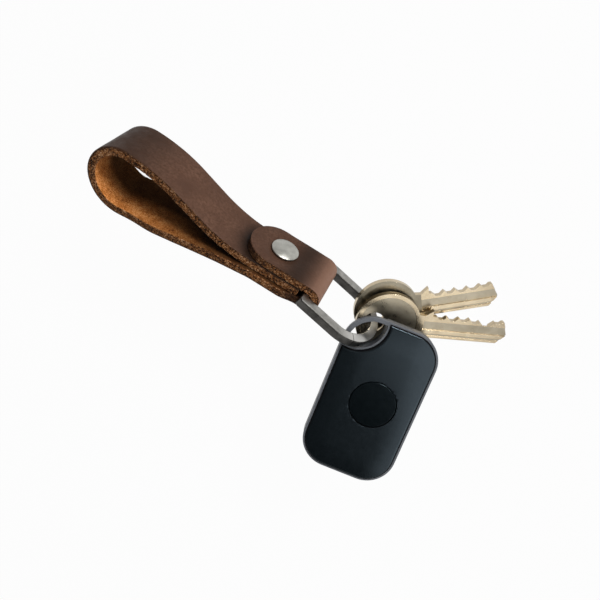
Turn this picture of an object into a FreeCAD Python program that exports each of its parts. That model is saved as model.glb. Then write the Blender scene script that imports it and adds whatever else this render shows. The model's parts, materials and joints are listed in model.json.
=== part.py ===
"""Leather key loop with a D-ring, a tracker tag and two keys. Millimetres, +Z up."""
import math
import os

import FreeCAD
import Part

Vector = FreeCAD.Vector
Rotation = FreeCAD.Rotation
Placement = FreeCAD.Placement

os.makedirs("parts", exist_ok=True)

ALONG = Vector(1, 0, 0)
ACROSS = Vector(0, 1, 0)
UP = Vector(0, 0, 1)

# Leather strap, seen from its edge: the bar of the ring is at the origin and the loop lies towards -X
strap_width = 19.0
leather = 3.2
bar_diameter = 3.4
bar_clearance = 0.05
tucked_end = 3.0
neck_angle = 20.0
neck_radius = 56.0
neck_straight = 11.5
tip_radius = 10.6
return_radius = 20.0
under_flap_length = 19.0
flap_length = 26.7
flap_tip_clearance = 0.024

# Double-cap rivet through the three layers
rivet_setback = 14.2
rivet_diameter = 9.7
rivet_rim = 0.5
rivet_dome = 1.7
rivet_tube_diameter = 3.0
rivet_post_diameter = 2.0
rivet_tube_gap = 2.4
rivet_post_gap = 0.5
rivet_hole_clearance = 0.05

# D-ring of square wire with a round bar
wire = 3.5
wire_edge = 0.5
ring_side_gap = 0.4
leg_length = 14.4
leg_end_round = 1.4
seam_angle = 32.0
seam_width = 0.2
seam_depth = 0.25

# Tracker tag: front is +Z, the key-ring end is +Y
tag_width = 34.0
tag_length = 57.2
tag_depth = 7.8
tag_corner = 10.5
back_edge = 1.6
front_edge = 0.9
scoop_radius = 9.8
lip_wall = 1.6
lip_height = 2.8
lip_lap = 0.5
frame_wall = 1.2
frame_bottom = -1.6
frame_top = 2.7
cover_inset = 0.8
cover_seat = 2.3
cover_skin = 1.1
tongue_wall = 0.9
tongue_top = 1.2
floor_skin = 0.9

# Push button in the front cover
button_diameter = 16.2
button_x = 1.4
button_y = -0.5
button_gap = 0.3
button_recess = 0.1
button_flange = 0.7
flange_skin = 0.5
flange_gap = 0.3
button_travel = 0.3
plunger_diameter = 2.6
plunger_gap = 0.05
button_edge = 0.25

# Circuit board and the pieces on it
board_skin = 0.6
board_bottom = 0.5
board_gap = 0.4
switch_side = 4.2
switch_base = 0.2
switch_dome_diameter = 2.9
switch_height = 0.35
chip_side = 5.0
chip_height = 0.75
chip_x = 3.0
chip_setback = 12.1
crystal_length = 2.5
crystal_width = 2.0
crystal_height = 0.6
crystal_x = -2.5
crystal_setback = 15.6
antenna_length = 8.0
antenna_width = 2.0
antenna_height = 1.0
antenna_x = 3.0
antenna_setback = 5.1
capacitor_length = 1.2
capacitor_width = 0.7
capacitor_height = 0.6
capacitor_pitch = 2.0
capacitor_count = 5
capacitor_inset = 5.0
capacitor_start = 6.0
board_screw_diameter = 1.4
board_screw_head = 2.4
board_screw_head_height = 0.5
board_screw_length = 3.0
board_screw_slot = 0.4
board_screw_slot_depth = 0.25
screw_boss_diameter = 3.4
screw_inset = 5.5
upper_screw_setback = 12.6
lower_screw_setback = 7.1

# Sounder under the front cover
sounder_plate_diameter = 13.0
sounder_plate_skin = 0.3
sounder_disc_diameter = 9.0
sounder_disc_skin = 0.3
sounder_setback = 8.6

# Coin cell, its contacts and the sliding door under it
cell_diameter = 20.0
cell_height = 3.2
cell_cap_diameter = 16.5
cell_cap_height = 0.2
cell_edge = 0.4
cell_y = -7.5
cell_gap = 0.3
contact_skin = 0.25
contact_width = 4.0
leaf_length = 9.9
side_contact_height = 2.4
side_contact_foot = 1.4
door_skin = 0.8
door_side_margin = 2.2
door_end_margin = 3.5
door_rail = 0.8
door_rail_skin = 0.4
door_side_gap = 0.15
door_face_gap = 0.12
grip_count = 4
grip_length = 12.5
grip_setback = 6.0
grip_pitch = 1.6
grip_width = 0.7
grip_depth = 0.25
gasket_wall = 0.6
gasket_height = 0.5

# Keys: the ring hole is at the origin and the blade points to +X
key_skin = 2.2
key_head_diameter = 23.3
key_border = 1.5
key_recess = 0.4
front_hole_diameter = 7.6
rear_hole_diameter = 9.2
key_hole_setback = 5.2
key_neck_height = 9.4
key_neck_length = 1.0
key_neck_lap = 2.0
key_blade_height = 8.6
front_blade_length = 32.3
rear_blade_length = 28.3
key_blade_skin = 2.0
key_tip = 3.4
key_tip_upper = 2.0
key_tip_drop = 0.8
key_groove_depth = 0.55
key_groove_height = 3.3
key_groove_y = 0.5
key_rib_height = 0.8
key_rib_y = -3.0
key_rib_depth = 0.3
key_shoulder_length = 2.8
key_shoulder_height = 2.2
key_shoulder_lap = 0.5
key_slot_length = 2.6
key_slot_height = 0.9
key_slot_depth = 0.3
key_slot_y = -2.6
key_slot_setback = 0.8
bite_pitch = 4.2
bite_start = 6.0
bite_flat = 1.4
bite_angle = 47.0
bites_front = (0.9, 1.2, 1.0, 1.4, 2.4, 0.8)
bites_rear = (1.4, 1.2, 1.4, 1.3, 0.8)

# Resting pose on the table
strap_roll = 47.8
ring_drop = 13.0
tag_wire_angle = 77.0
tag_azimuth = 10.4
tag_lean = 11.0
tag_wire_x = 4.8
tag_wire_y = -4.9
key_lean = 27.0
key_lean_azimuth = -51.0
key_pull = 0.8
front_wire_angle = 116.0
front_azimuth = 25.5
rear_wire_angle = 134.0
rear_azimuth = 41.0

# Length by which a cut runs past the face it opens
overshoot = 1.0


def prism(face, low, high):
    """Solid between two heights over a flat face drawn at height zero."""
    solid = face.extrude(UP * (high - low))
    solid.translate(UP * low)
    return solid


def disc(diameter, x=0.0, y=0.0):
    circle = Part.makeCircle(diameter / 2, Vector(x, y, 0))
    return Part.Face(Part.Wire(circle))


def block(length, width, low, high, x=0.0, y=0.0):
    """Box centred on x, y."""
    return Part.makeBox(length, width, high - low, Vector(x - length / 2, y - width / 2, low))


def polygon(points):
    corners = [Vector(x, y, 0) for x, y in points]
    return Part.Face(Part.makePolygon(corners + corners[:1]))


def rounded_rectangle(width, length, radius):
    solid = Part.makeBox(width, length, 1, Vector(-width / 2, -length / 2, 0))
    uprights = [edge for edge in solid.Edges if abs(edge.tangentAt(edge.FirstParameter).z) > 0.99]
    solid = solid.makeFillet(radius, uprights)
    flat = [face for face in solid.Faces if face.BoundBox.ZMax < 0.01]
    return Part.Face(flat[0].OuterWire)


def level_edges(solid, height):
    """Edges that lie wholly at one height."""
    found = []
    for edge in solid.Edges:
        box = edge.BoundBox
        if abs(box.ZMin - height) < 0.001 and abs(box.ZMax - height) < 0.001:
            found.append(edge)
    return found


# Strap: a ribbon that follows lines and arcs in the XZ plane
fold_radius = bar_diameter / 2 + bar_clearance
fold_middle = fold_radius + leather / 2
flap_top = fold_radius + leather


def ribbon(start, heading, steps, thickness):
    """Face of a band around a path; a step is (length,) or (radius, turn in degrees, left positive)."""
    sides = ([], [])
    point = start
    for step in steps:
        ahead = Vector(math.cos(heading), 0, math.sin(heading))
        left = Vector(-ahead.z, 0, ahead.x)
        if len(step) == 1:
            goal = point + ahead * step[0]
            for side, offset in zip(sides, (thickness / 2, -thickness / 2)):
                side.append(Part.makeLine(point + left * offset, goal + left * offset))
        else:
            radius, turn = step
            sign = math.copysign(1, turn)
            centre = point + left * radius * sign
            arms = [(point - centre) / radius]
            for share in (0.5, 1.0):
                swing = math.radians(turn) * share
                arm = arms[0]
                arms.append(Vector(arm.x * math.cos(swing) - arm.z * math.sin(swing), 0,
                                   arm.x * math.sin(swing) + arm.z * math.cos(swing)))
            for side, offset in zip(sides, (thickness / 2, -thickness / 2)):
                reach = radius - sign * offset
                side.append(Part.Arc(*[centre + arm * reach for arm in arms]).toShape())
            goal = centre + arms[2] * radius
            heading += math.radians(turn)
        point = goal
    starts = [side[0].valueAt(side[0].FirstParameter) for side in sides]
    finishes = [side[-1].valueAt(side[-1].LastParameter) for side in sides]
    ends = [Part.makeLine(*starts), Part.makeLine(*finishes)]
    return Part.Face(Part.Wire(Part.__sortEdges__(sides[0] + sides[1] + ends)))


def leather_strap():
    neck = math.radians(neck_angle)
    rise = 2 * neck_radius * (1 - math.cos(neck)) + neck_straight * math.sin(neck)
    run = 2 * neck_radius * math.sin(neck) + neck_straight * math.cos(neck)
    # The neck starts to rise where the tip of the flap still clears it
    neck_top = neck_radius - leather / 2
    tip_room = fold_radius - leather / 2 - flap_tip_clearance
    neck_start = flap_length - math.sqrt(neck_top ** 2 - (neck_top - tip_room) ** 2)
    # The way back is the line that touches the arc of the tip and the arc before the flat under the flap
    span_x = neck_start + run - under_flap_length
    span_z = tip_radius - rise - fold_middle - return_radius
    reach = tip_radius + return_radius
    return_straight = math.sqrt(span_x ** 2 + span_z ** 2 - reach ** 2)
    return_angle = math.degrees(math.atan2(span_z, span_x) + math.atan2(reach, return_straight))
    steps = [
        (neck_start - tucked_end,),
        (neck_radius, -neck_angle),
        (neck_straight,),
        (neck_radius, neck_angle),
        (tip_radius, 180 + return_angle),
        (return_straight,),
        (return_radius, -return_angle),
        (under_flap_length,),
        (fold_middle, 180),
        (flap_length,),
    ]
    band = ribbon(Vector(-tucked_end, 0, 0), math.pi, steps, leather)
    band.translate(ACROSS * -strap_width / 2)
    strap = band.extrude(ACROSS * strap_width)
    half = strap_width / 2
    round_x = half - flap_length
    waste = block(half, strap_width, fold_radius, flap_top, x=round_x - half / 2)
    waste = waste.cut(prism(disc(strap_width, round_x), fold_radius, flap_top))
    strap = strap.cut(waste)
    hole = prism(disc(rivet_tube_diameter + 2 * rivet_hole_clearance, -rivet_setback), -flap_top, flap_top)
    return strap.cut(hole)


def domed_cap():
    """Solid cap of the rivet with its flat side at height zero."""
    radius = rivet_diameter / 2
    rim = Vector(radius, 0, rivet_rim)
    ball = (radius ** 2 + (rivet_dome - rivet_rim) ** 2) / (2 * (rivet_dome - rivet_rim))
    middle = rivet_dome - ball + math.sqrt(ball ** 2 - (radius / 2) ** 2)
    outline = [
        Part.makeLine(Vector(0, 0, 0), Vector(radius, 0, 0)),
        Part.makeLine(Vector(radius, 0, 0), rim),
        Part.Arc(rim, Vector(radius / 2, 0, middle), Vector(0, 0, rivet_dome)).toShape(),
        Part.makeLine(Vector(0, 0, rivet_dome), Vector(0, 0, 0)),
    ]
    return Part.Face(Part.Wire(outline)).revolve(Vector(0, 0, 0), UP, 360)


def rivet_pieces():
    """Front cap with its tube, and back cap with the post that grips inside the tube."""
    front = domed_cap()
    front.translate(Vector(-rivet_setback, 0, flap_top))
    tube_end = rivet_tube_gap - flap_top
    tube = prism(disc(rivet_tube_diameter, -rivet_setback), tube_end, flap_top)
    bore = prism(disc(rivet_post_diameter, -rivet_setback), tube_end, flap_top)
    front = front.fuse(tube.cut(bore)).removeSplitter()
    back = domed_cap()
    back.rotate(Vector(0, 0, 0), ALONG, 180)
    back.translate(Vector(-rivet_setback, 0, -flap_top))
    post = prism(disc(rivet_post_diameter, -rivet_setback), -flap_top, flap_top - rivet_post_gap)
    return front, back.fuse(post).removeSplitter()


# Ring: legs along +X from the bar, then a half-round bow
bow_radius = strap_width / 2 + ring_side_gap + wire / 2


def wire_point(angle):
    """Middle of the wire, by the angle round the bow from the near leg."""
    turn = math.radians(angle)
    return Vector(leg_length + bow_radius * math.sin(turn), -bow_radius * math.cos(turn), 0)


def bow_outline(half):
    """Leg ends, legs and bow at a distance from the middle line of the ring."""
    top = Vector(leg_length, half, 0)
    bottom = Vector(leg_length, -half, 0)
    return [
        Part.makeLine(Vector(-wire / 2, -half, 0), bottom),
        Part.Arc(bottom, Vector(leg_length + half, 0, 0), top).toShape(),
        Part.makeLine(top, Vector(-wire / 2, half, 0)),
        Part.makeLine(Vector(-wire / 2, half, 0), Vector(-wire / 2, -half, 0)),
    ]


def d_ring():
    outer = Part.Face(Part.Wire(bow_outline(bow_radius + wire / 2)))
    inner = Part.Face(Part.Wire(bow_outline(bow_radius - wire / 2)))
    ring = prism(outer.cut(inner), -wire / 2, wire / 2)
    corners = []
    for edge in ring.Edges:
        middle = edge.BoundBox.Center
        if edge.BoundBox.ZLength > wire / 2 and middle.x < 0 and abs(middle.y) > bow_radius:
            corners.append(edge)
    ring = ring.makeFillet(leg_end_round, corners)
    ring = ring.makeFillet(wire_edge, level_edges(ring, wire / 2) + level_edges(ring, -wire / 2))
    bar = Part.makeCylinder(bar_diameter / 2, 2 * bow_radius, Vector(0, -bow_radius, 0), ACROSS)
    ring = ring.fuse(bar).removeSplitter()
    seam = block(seam_width, 2 * wire, -wire, wire)
    seam = seam.cut(block(seam_width, wire - 2 * seam_depth, seam_depth - wire / 2, wire / 2 - seam_depth))
    seam.rotate(Vector(0, 0, 0), UP, seam_angle)
    seam.translate(wire_point(seam_angle))
    return ring.cut(seam)


# Tag: every wall follows the same outline with a round bite out of one corner
half_depth = tag_depth / 2
bite_x = -(tag_width / 2 - tag_corner * (1 - math.sqrt(0.5)))
bite_y = tag_length / 2 - tag_corner * (1 - math.sqrt(0.5))
cover_under = half_depth - cover_skin
floor_top = -half_depth + door_skin + door_face_gap + floor_skin
board_top = board_bottom + board_skin
cell_opening = cell_diameter + 2 * cell_gap
door_width = cell_opening + 2 * door_side_margin
door_end = cell_y + cell_diameter / 2 + door_end_margin


def tag_outline(inset):
    return rounded_rectangle(tag_width - 2 * inset, tag_length - 2 * inset, tag_corner - inset)


def tag_plan(inset):
    """Outline of the tag, set in, without the bite at the corner."""
    return tag_outline(inset).cut(disc(2 * (scoop_radius + inset), bite_x, bite_y))


def tag_frame():
    """Rim between cover and shell with the lip that closes the ring hole."""
    walls = prism(tag_plan(0), frame_bottom, frame_top)
    walls = walls.cut(prism(tag_plan(frame_wall), frame_bottom, cover_seat))
    walls = walls.cut(prism(tag_plan(cover_inset), cover_seat, frame_top))
    lip = tag_outline(0).cut(tag_outline(lip_wall)).common(disc(2 * (scoop_radius + lip_lap), bite_x, bite_y))
    lip = prism(lip, frame_top - lip_height, frame_top)
    return walls.fuse(lip).removeSplitter()


def front_cover():
    cover = prism(tag_plan(cover_inset), cover_seat, half_depth)
    cover = cover.makeFillet(front_edge, level_edges(cover, half_depth))
    cover = cover.cut(prism(tag_plan(frame_wall + tongue_wall), cover_seat, cover_under))
    opening = disc(button_diameter + 2 * button_gap, button_x, button_y)
    return cover.cut(prism(opening, cover_under, half_depth))


def button_cap():
    top = half_depth - button_recess
    flange_top = cover_under - flange_gap
    flange_bottom = flange_top - flange_skin
    cap = prism(disc(button_diameter, button_x, button_y), flange_bottom, top)
    cap = cap.makeFillet(button_edge, level_edges(cap, top))
    flange = disc(button_diameter + 2 * (button_gap + button_flange), button_x, button_y)
    cap = cap.fuse(prism(flange, flange_bottom, flange_top))
    plunger_bottom = board_top + switch_height + button_travel + plunger_gap
    plunger = disc(plunger_diameter, button_x, button_y)
    cap = cap.fuse(prism(plunger, plunger_bottom, flange_bottom))
    return cap.removeSplitter()


def screw_points():
    x = tag_width / 2 - screw_inset
    return [(x, tag_length / 2 - upper_screw_setback), (-x, lower_screw_setback - tag_length / 2)]


def door_prism(grow, rise):
    """Door plate with its side rails; grow and rise widen it for the slot that it slides in."""
    outside = tag_length / 2 + overshoot
    middle = (door_end + grow - outside) / 2
    length = door_end + grow + outside
    top = door_skin - half_depth + rise
    plate = block(door_width + 2 * grow, length, -half_depth - overshoot, top, y=middle)
    rails = block(door_width + 2 * (door_rail + grow), length, top - door_rail_skin - 2 * rise, top, y=middle)
    return plate.fuse(rails)


def tag_envelope():
    """Back half of the tag's outside with its rounded back edge."""
    solid = prism(tag_outline(0), -half_depth, frame_bottom)
    return solid.makeFillet(back_edge, level_edges(solid, -half_depth))


def back_shell():
    bite = prism(disc(2 * scoop_radius, bite_x, bite_y), -half_depth, frame_bottom)
    shell = tag_envelope().cut(bite)
    shell = shell.fuse(prism(tag_plan(frame_wall), frame_bottom, tongue_top))
    shell = shell.cut(prism(tag_plan(frame_wall + tongue_wall), floor_top, tongue_top))
    shell = shell.cut(door_prism(door_side_gap, door_face_gap))
    shell = shell.cut(prism(disc(cell_opening, 0, cell_y), -half_depth, floor_top))
    shell = shell.cut(door_gasket())
    for x, y in screw_points():
        shell = shell.fuse(prism(disc(screw_boss_diameter, x, y), floor_top, board_bottom))
        depth = board_screw_length - board_skin
        shell = shell.cut(prism(disc(board_screw_diameter, x, y), board_bottom - depth, board_bottom))
    return shell.removeSplitter()


def battery_door():
    door = tag_envelope().common(door_prism(0, 0))
    for index in range(grip_count):
        y = grip_pitch * index - tag_length / 2 + grip_setback
        door = door.cut(block(grip_length, grip_width, -half_depth, grip_depth - half_depth, y=y))
    return door


def door_gasket():
    inside = disc(cell_opening + 2 * gasket_wall, 0, cell_y)
    ring = disc(cell_opening + 4 * gasket_wall, 0, cell_y).cut(inside)
    low = door_skin + door_face_gap - half_depth
    return prism(ring, low, low + gasket_height)


def coin_cell():
    top = board_bottom - contact_skin
    low = top - cell_height
    can = prism(disc(cell_diameter, 0, cell_y), low, top - cell_cap_height)
    can = can.makeFillet(cell_edge, level_edges(can, low))
    return can.fuse(prism(disc(cell_cap_diameter, 0, cell_y), top - cell_cap_height, top)).removeSplitter()


def cell_contacts():
    """Flat leaf on the cell's cap and upright leaf at its side, both under the board."""
    low = board_bottom - contact_skin
    leaf = block(contact_width, leaf_length, low, board_bottom, y=cell_y)
    x = cell_diameter / 2 + contact_skin / 2
    side = block(contact_skin, contact_width, board_bottom - side_contact_height, board_bottom, x=x, y=cell_y)
    foot = block(side_contact_foot, contact_width, low, board_bottom, x=x + side_contact_foot / 2, y=cell_y)
    return leaf, side.fuse(foot).removeSplitter()


def circuit_board():
    board = prism(tag_plan(frame_wall + tongue_wall + board_gap), board_bottom, board_top)
    for x, y in screw_points():
        board = board.cut(prism(disc(board_screw_diameter, x, y), board_bottom, board_top))
    return board


def board_screws():
    top = board_top + board_screw_head_height
    screws = []
    for x, y in screw_points():
        shank = prism(disc(board_screw_diameter, x, y), board_top - board_screw_length, board_top)
        head = prism(disc(board_screw_head, x, y), board_top, top)
        slot = block(board_screw_head, board_screw_slot, top - board_screw_slot_depth, top, x=x, y=y)
        screws.append(shank.fuse(head).removeSplitter().cut(slot))
    return Part.makeCompound(screws)


def board_pieces():
    """Switch, radio chip, crystal, antenna and a row of capacitors, standing on the board."""

    def standing(length, width, height, x, y):
        return block(length, width, board_top, board_top + height, x=x, y=y)

    top_end = tag_length / 2
    switch = standing(switch_side, switch_side, switch_base, button_x, button_y)
    dome = disc(switch_dome_diameter, button_x, button_y)
    switch = switch.fuse(prism(dome, board_top, board_top + switch_height)).removeSplitter()
    chip = standing(chip_side, chip_side, chip_height, chip_x, top_end - chip_setback)
    crystal = standing(crystal_length, crystal_width, crystal_height, crystal_x, top_end - crystal_setback)
    antenna = standing(antenna_length, antenna_width, antenna_height, antenna_x, top_end - antenna_setback)
    row = []
    row_x = capacitor_inset - tag_width / 2
    for index in range(capacitor_count):
        y = capacitor_start - capacitor_pitch * index
        row.append(standing(capacitor_length, capacitor_width, capacitor_height, row_x, y))
    return switch, chip, crystal, antenna, Part.makeCompound(row)


def sounder_pieces():
    y = sounder_setback - tag_length / 2
    plate_low = cover_under - sounder_plate_skin
    plate = prism(disc(sounder_plate_diameter, 0, y), plate_low, cover_under)
    ceramic = prism(disc(sounder_disc_diameter, 0, y), plate_low - sounder_disc_skin, plate_low)
    return plate, ceramic


def key(blade_length, bites, hole_diameter):
    """One-piece key; bites are the depths of the notches from shoulder to tip."""
    half = key_skin / 2
    centre = key_hole_setback
    head = prism(disc(key_head_diameter, centre), -half, half)
    head_end = centre + key_head_diameter / 2
    start = head_end - key_neck_lap
    end = head_end + blade_length
    tall = key_blade_height / 2
    blade = polygon([
        (start, -tall), (end - key_tip, -tall), (end, -key_tip_drop),
        (end - key_tip_upper, tall), (start, tall),
    ])
    blade = prism(blade, -key_blade_skin / 2, key_blade_skin / 2)
    blade_start = head_end + key_neck_length
    neck = prism(polygon([
        (start, -key_neck_height / 2), (blade_start, -tall),
        (blade_start, tall), (start, key_neck_height / 2),
    ]), -half, half)
    shoulder_end = blade_start + key_shoulder_length
    shoulder = prism(polygon([
        (blade_start, tall - key_shoulder_lap), (shoulder_end, tall - key_shoulder_lap),
        (shoulder_end, tall + key_shoulder_height), (blade_start, tall),
    ]), -key_blade_skin / 2, key_blade_skin / 2)
    spread = math.tan(math.radians(bite_angle))
    for index, depth in enumerate(bites):
        x = blade_start + bite_start + bite_pitch * index
        flat = bite_flat / 2
        reach = flat + (depth + overshoot) * spread
        notch = polygon([
            (x - flat, tall - depth), (x + flat, tall - depth),
            (x + reach, tall + overshoot), (x - reach, tall + overshoot),
        ])
        blade = blade.cut(prism(notch, -half, half))
    grooves = (
        (key_groove_depth, key_groove_height, key_groove_y),
        (key_rib_depth, key_rib_height, key_rib_y),
    )
    for side in (1, -1):
        face = side * key_blade_skin / 2
        for depth, height, y in grooves:
            low, high = sorted((face, face - side * depth))
            blade = blade.cut(block(end - blade_start, height, low, high, x=(blade_start + end) / 2, y=y))
    solid = head.fuse([blade, neck, shoulder]).removeSplitter()
    slot_x = blade_start - key_slot_setback
    slot = block(key_slot_length, key_slot_height, half - key_slot_depth, half, x=slot_x, y=key_slot_y)
    solid = solid.cut(slot)
    dish = disc(key_head_diameter - 2 * key_border, centre)
    solid = solid.cut(prism(dish, half - key_recess, half))
    solid = solid.cut(prism(dish, -half, key_recess - half))
    return solid.cut(prism(disc(hole_diameter), -half, half))


def leaning(azimuth, angle):
    """Rotation that tips the upright direction towards an azimuth."""
    turn = math.radians(azimuth)
    return Rotation(Vector(-math.sin(turn), math.cos(turn), 0), angle)


# Poses: everything hangs on the ring, and the ring hangs on the fold of the strap
strap_pose = Placement(Vector(0, 0, 0), Rotation(ALONG, -strap_roll))
ring_pose = strap_pose.multiply(Placement(Vector(0, 0, 0), Rotation(ACROSS, ring_drop)))


def hung(wire_angle, turning, hole):
    """Pose of a piece whose hole point sits on the middle of the wire."""
    return Placement(ring_pose.multVec(wire_point(wire_angle)) - turning.multVec(hole), turning)


tag_turning = leaning(tag_azimuth - 90, tag_lean).multiply(Rotation(UP, tag_azimuth))
tag_hole = Vector(bite_x + tag_wire_x, bite_y + tag_wire_y, 0)
tag_pose = hung(tag_wire_angle, tag_turning, tag_hole)
keys_leaning = leaning(key_lean_azimuth, key_lean)
wire_in_key = Vector(-key_pull, 0, 0)
front_pose = hung(front_wire_angle, keys_leaning.multiply(Rotation(UP, front_azimuth)), wire_in_key)
rear_pose = hung(rear_wire_angle, keys_leaning.multiply(Rotation(UP, rear_azimuth)), wire_in_key)

rivet_cap, rivet_post = rivet_pieces()
leaf_contact, side_contact = cell_contacts()
switch, chip, crystal, antenna, capacitors = board_pieces()
sounder_plate, sounder_disc = sounder_pieces()

pieces = [
    ("leather_strap", leather_strap(), strap_pose),
    ("rivet_cap", rivet_cap, strap_pose),
    ("rivet_post", rivet_post, strap_pose),
    ("d_ring", d_ring(), ring_pose),
    ("tag_frame", tag_frame(), tag_pose),
    ("front_cover", front_cover(), tag_pose),
    ("back_shell", back_shell(), tag_pose),
    ("button_cap", button_cap(), tag_pose),
    ("dome_switch", switch, tag_pose),
    ("circuit_board", circuit_board(), tag_pose),
    ("board_screws", board_screws(), tag_pose),
    ("radio_chip", chip, tag_pose),
    ("crystal", crystal, tag_pose),
    ("antenna", antenna, tag_pose),
    ("capacitors", capacitors, tag_pose),
    ("sounder_plate", sounder_plate, tag_pose),
    ("sounder_disc", sounder_disc, tag_pose),
    ("coin_cell", coin_cell(), tag_pose),
    ("leaf_contact", leaf_contact, tag_pose),
    ("side_contact", side_contact, tag_pose),
    ("door_gasket", door_gasket(), tag_pose),
    ("battery_door", battery_door(), tag_pose),
    ("key_front", key(front_blade_length, bites_front, front_hole_diameter), front_pose),
    ("key_rear", key(rear_blade_length, bites_rear, rear_hole_diameter), rear_pose),
]

placed = {}
for name, shape, pose in pieces:
    shape.Placement = pose.multiply(shape.Placement)
    placed[name] = shape

# The frame's origin is the middle of the bottom of the whole part
whole = Part.makeCompound(list(placed.values())).optimalBoundingBox(False, False)
shift = Vector(-(whole.XMin + whole.XMax) / 2, -(whole.YMin + whole.YMax) / 2, -whole.ZMin)
for name, shape in placed.items():
    shape.translate(shift)
    shape.exportStep("parts/" + name + ".step")
    print(name, len(shape.Solids), round(shape.Volume, 1), shape.isValid())
print("size", round(whole.XLength, 2), round(whole.YLength, 2), round(whole.ZLength, 2))
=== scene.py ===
"""Looks of a leather key loop with a D-ring, a tracker tag and two keys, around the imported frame.

Lengths are in metres.
"""
import json
import math
import random

import bmesh
import bpy
from mathutils import Matrix, Vector, noise


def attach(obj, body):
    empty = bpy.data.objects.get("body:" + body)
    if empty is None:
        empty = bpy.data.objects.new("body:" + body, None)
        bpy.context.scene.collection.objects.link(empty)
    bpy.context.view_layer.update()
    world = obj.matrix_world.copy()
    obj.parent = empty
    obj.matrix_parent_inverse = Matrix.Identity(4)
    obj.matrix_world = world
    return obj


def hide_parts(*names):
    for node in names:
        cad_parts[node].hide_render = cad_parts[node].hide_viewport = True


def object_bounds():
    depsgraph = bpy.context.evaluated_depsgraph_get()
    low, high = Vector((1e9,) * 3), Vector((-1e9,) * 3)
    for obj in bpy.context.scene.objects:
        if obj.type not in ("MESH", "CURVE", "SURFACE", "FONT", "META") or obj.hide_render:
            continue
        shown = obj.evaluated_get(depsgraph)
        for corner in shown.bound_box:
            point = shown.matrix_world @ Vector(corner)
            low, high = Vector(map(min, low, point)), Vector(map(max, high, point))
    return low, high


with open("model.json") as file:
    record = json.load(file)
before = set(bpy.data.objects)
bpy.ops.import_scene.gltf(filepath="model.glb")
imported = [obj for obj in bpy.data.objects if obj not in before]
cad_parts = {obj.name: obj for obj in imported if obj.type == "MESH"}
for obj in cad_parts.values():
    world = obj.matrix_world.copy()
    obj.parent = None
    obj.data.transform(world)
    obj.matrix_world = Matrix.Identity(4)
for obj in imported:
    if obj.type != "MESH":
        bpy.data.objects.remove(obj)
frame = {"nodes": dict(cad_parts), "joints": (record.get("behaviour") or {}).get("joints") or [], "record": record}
cad_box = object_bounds()
nodes = frame["nodes"]
joints = {joint["name"]: joint for joint in frame["joints"]}

MM = 0.001

# Strap: the same band as the solid, bar of the ring at the origin, loop towards -X
STRAP_WIDTH = 19.0 * MM
LEATHER = 3.2 * MM
FOLD_RADIUS = 1.75 * MM
TUCKED_END = 3.0 * MM
NECK_START = 23.0 * MM
NECK_ANGLE = 20.0
NECK_RADIUS = 56.0 * MM
NECK_STRAIGHT = 11.5 * MM
TIP_RADIUS = 10.6 * MM
RETURN_RADIUS = 20.0 * MM
UNDER_FLAP = 19.0 * MM
FLAP_LENGTH = 26.7 * MM
RIVET_SETBACK = 14.2 * MM
RIVET_RADIUS = 4.85 * MM
FOLD_MIDDLE = FOLD_RADIUS + LEATHER / 2
FLAP_TOP = FOLD_RADIUS + LEATHER
# Place of the loop's tip bend in the list of steps along the strap
TIP_STEP = 4

# Fineness of the strap's mesh and rounding of its corners
STATION = 0.36 * MM
FACE_COLUMNS = 40
EDGE_ROWS = 9
CORNER_ROWS = 3
GRAIN_CORNER = 0.45 * MM
FLESH_CORNER = 0.3 * MM
# At the flap's tip the band keeps a little width, and its corners at most a share of that
TIP_HALF_WIDTH = 0.35 * MM
CORNER_SHARE = 0.6
# Places of the strap's sides in its list of materials
STRAP_SLOTS = {"grain": 0, "flesh": 1, "edge": 2}

# Relief of the strap: nap, layers of fibre on the raw edges, waves of the grain
NAP_SIZE = 0.55 * MM
# Fractal of the nap: how fast its finer waves fade, their step in size and their number
NAP_FRACTAL = (0.9, 2.1, 3)
LAYER_SIZES = (2.2 * MM, 0.5 * MM, 2.2 * MM)
EDGE_ROUGHNESS = 0.16 * MM
EDGE_NAP = 0.75
EDGE_LAYERS = 0.4
EDGE_SINK = 0.05 * MM
FLESH_ROUGHNESS = 0.07 * MM
# A bend of fewer fold radii than this is tight, and the nap inside it is pressed flat
TIGHT_BEND = 1.5
GRAIN_WAVE = 0.06 * MM
WAVE_SIZE = 7.0 * MM
# The rivet draws the leather down round its caps, on the two outer faces only
RIVET_DENT = 0.42 * MM
RIVET_DENT_SPREAD = 1.3 * MM
RIVET_DENT_REACH = 4 * RIVET_DENT_SPREAD
OUTER_SKIN = 0.2 * LEATHER

# Stains and painted shade of the strap: how dark each is, from 0 to 1, and how far it reaches
EDGE_DARKNESS = 0.9
TIP_REACH = 16.0 * MM
# Painted shade on the raw edges under the fold
UNDER_REACH = 6.0 * MM
UNDER_SHIFT = 0.6 * UNDER_REACH
# The grain is darker between the rivet and the fold, and a little over the flap away from the fold
RIVET_SIDE_DARKENING = 0.82
RIVET_SIDE_PLACE = 6.5 * MM
RIVET_SIDE_SPREAD = 6.0 * MM
FLAP_DARKENING = 0.17
# Painted shade on the grain at the loop's far end
LOOP_END_SHADE = 0.66
LOOP_END_SHADE_REACH = 14.0 * MM
LOOP_END_SHADE_FADE = 20.0 * MM
# Painted shadow of the flap's tip on the run beneath it
FLAP_TIP_SHADOW = 0.96
FLAP_TIP_SHADOW_REACH = 3.8 * MM
# Painted shade on the flesh side: a lit band along one edge, dark across the rest and deep in the loop
FLESH_SHADE = 0.85
FLESH_LIT_WIDTH = 4.4 * MM
FLESH_FADE = 6.0 * MM
DEEP_SHADE = 0.9
DEEP_START = 8.0 * MM
DEEP_REACH = 56.0 * MM
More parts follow.
